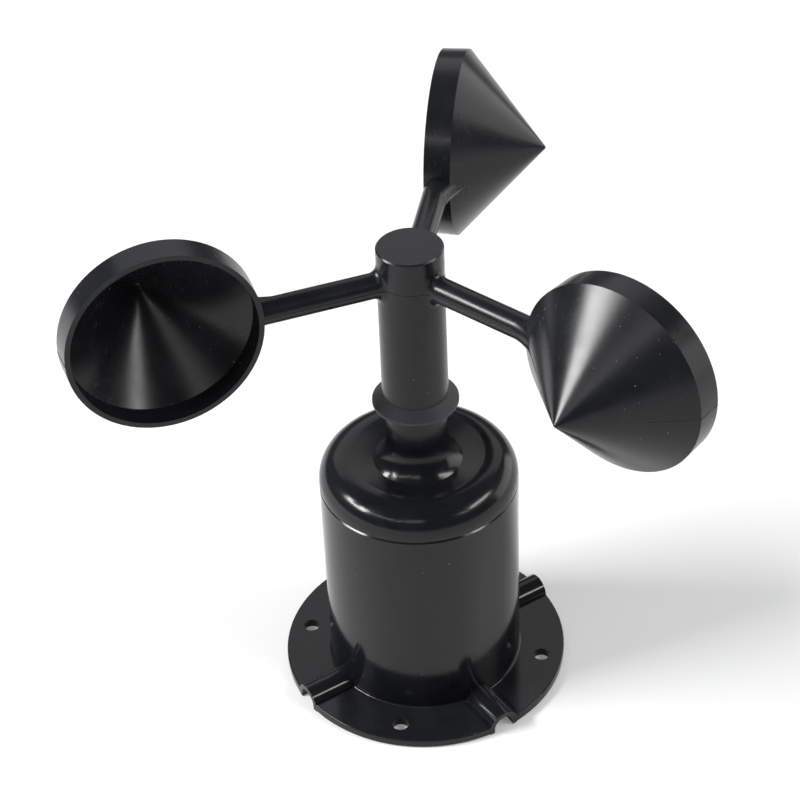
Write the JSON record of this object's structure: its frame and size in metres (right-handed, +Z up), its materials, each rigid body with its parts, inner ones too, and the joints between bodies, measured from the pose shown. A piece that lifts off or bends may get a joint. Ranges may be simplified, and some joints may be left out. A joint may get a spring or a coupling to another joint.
{
  "type": "cup anemometer",
  "caption": "Cup anemometer: conical wind cups on a level rotor, a vertical bearing spindle in a round flanged housing with a speed disc and light sensor inside.",
  "frame": {"origin": "centre of the mounting flange's underside, on the rotor's axis", "axes": "+Z up along the rotor's axis; the four bolt holes lie on +X, +Y, -X and -Y; the cable tunnels lie between them"},
  "size_m": [0.1613, 0.1452, 0.1564],
  "materials": {
    "black_shell": "glossy moulded polycarbonate",
    "black_shell_cap": "glossy moulded polycarbonate",
    "cover_plastic": "matt black moulding",
    "rotor_plastic": "semi-gloss black moulding",
    "cup_plastic": "semi-gloss black moulding",
    "seal_rubber": "matt",
    "bush_rubber": "matt",
    "stainless_screw": "turned stainless steel",
    "zinc_screw": "zinc plated",
    "board": "green solder mask",
    "sensor_plastic": "matt black",
    "chip_package": "matt epoxy",
    "capacitor_can": "satin can",
    "terminal_plastic": "green moulding",
    "bearing_steel": "ground and polished",
    "shield_steel": "pressed sheet",
    "spring_steel": "oiled spring steel",
    "brass_insert": "turned brass",
    "spindle_steel": "ground stainless steel",
    "disc_steel": "etched sheet"
  },
  "bodies": {
    "housing": {"lower_housing": "black_shell", "top_cap": "black_shell_cap", "bottom_cover": "cover_plastic", "bottom_cover_seal": "seal_rubber", "bottom_cover_screws": "stainless_screw", "cable_bush": "bush_rubber", "cable_clamp": "cover_plastic", "cable_clamp_screws": "stainless_screw", "circuit_board": "board", "circuit_board_screws": "stainless_screw", "slotted_light_sensor": "sensor_plastic", "microcontroller": "chip_package", "bus_transceiver": "chip_package", "voltage_regulator": "chip_package", "capacitors": "capacitor_can", "terminal_block": "terminal_plastic", "terminal_screws": "zinc_screw", "upper_bearing_outer_ring": "bearing_steel", "upper_bearing_shields": "shield_steel", "lower_bearing_outer_ring": "bearing_steel", "lower_bearing_shields": "shield_steel", "bearing_retaining_ring": "spring_steel"},
    "rotor": {"rotor_hub": "rotor_plastic", "rotor_arm_1": "rotor_plastic", "rotor_arm_2": "rotor_plastic", "rotor_arm_3": "rotor_plastic", "cup_1": "cup_plastic", "cup_2": "cup_plastic", "cup_3": "cup_plastic", "hub_insert": "brass_insert", "spindle": "spindle_steel", "upper_bearing_inner_ring": "bearing_steel", "lower_bearing_inner_ring": "bearing_steel", "spindle_circlip": "spring_steel", "disc_hub": "brass_insert", "disc_set_screw": "stainless_screw", "speed_disc": "disc_steel"},
    "upper_ball_set": {"upper_bearing_balls": "bearing_steel", "upper_bearing_cage": "shield_steel"},
    "lower_ball_set": {"lower_bearing_balls": "bearing_steel", "lower_bearing_cage": "shield_steel"}
  },
  "joints": [
    {"name": "rotor_spin", "type": "hinge", "parent": "housing", "child": "rotor", "pos_m": [0, 0, 0.09], "axis": [0, 0, 1], "continuous": true},
    {"name": "upper_balls_orbit", "type": "hinge", "parent": "housing", "child": "upper_ball_set", "pos_m": [0, 0, 0.09], "axis": [0, 0, 1], "continuous": true},
    {"name": "lower_balls_orbit", "type": "hinge", "parent": "housing", "child": "lower_ball_set", "pos_m": [0, 0, 0.062], "axis": [0, 0, 1], "continuous": true}
  ],
  "couplings": [
    {"joint": "upper_balls_orbit", "follows": "rotor_spin", "ratio": 0.3889},
    {"joint": "lower_balls_orbit", "follows": "rotor_spin", "ratio": 0.3889}
  ]
}
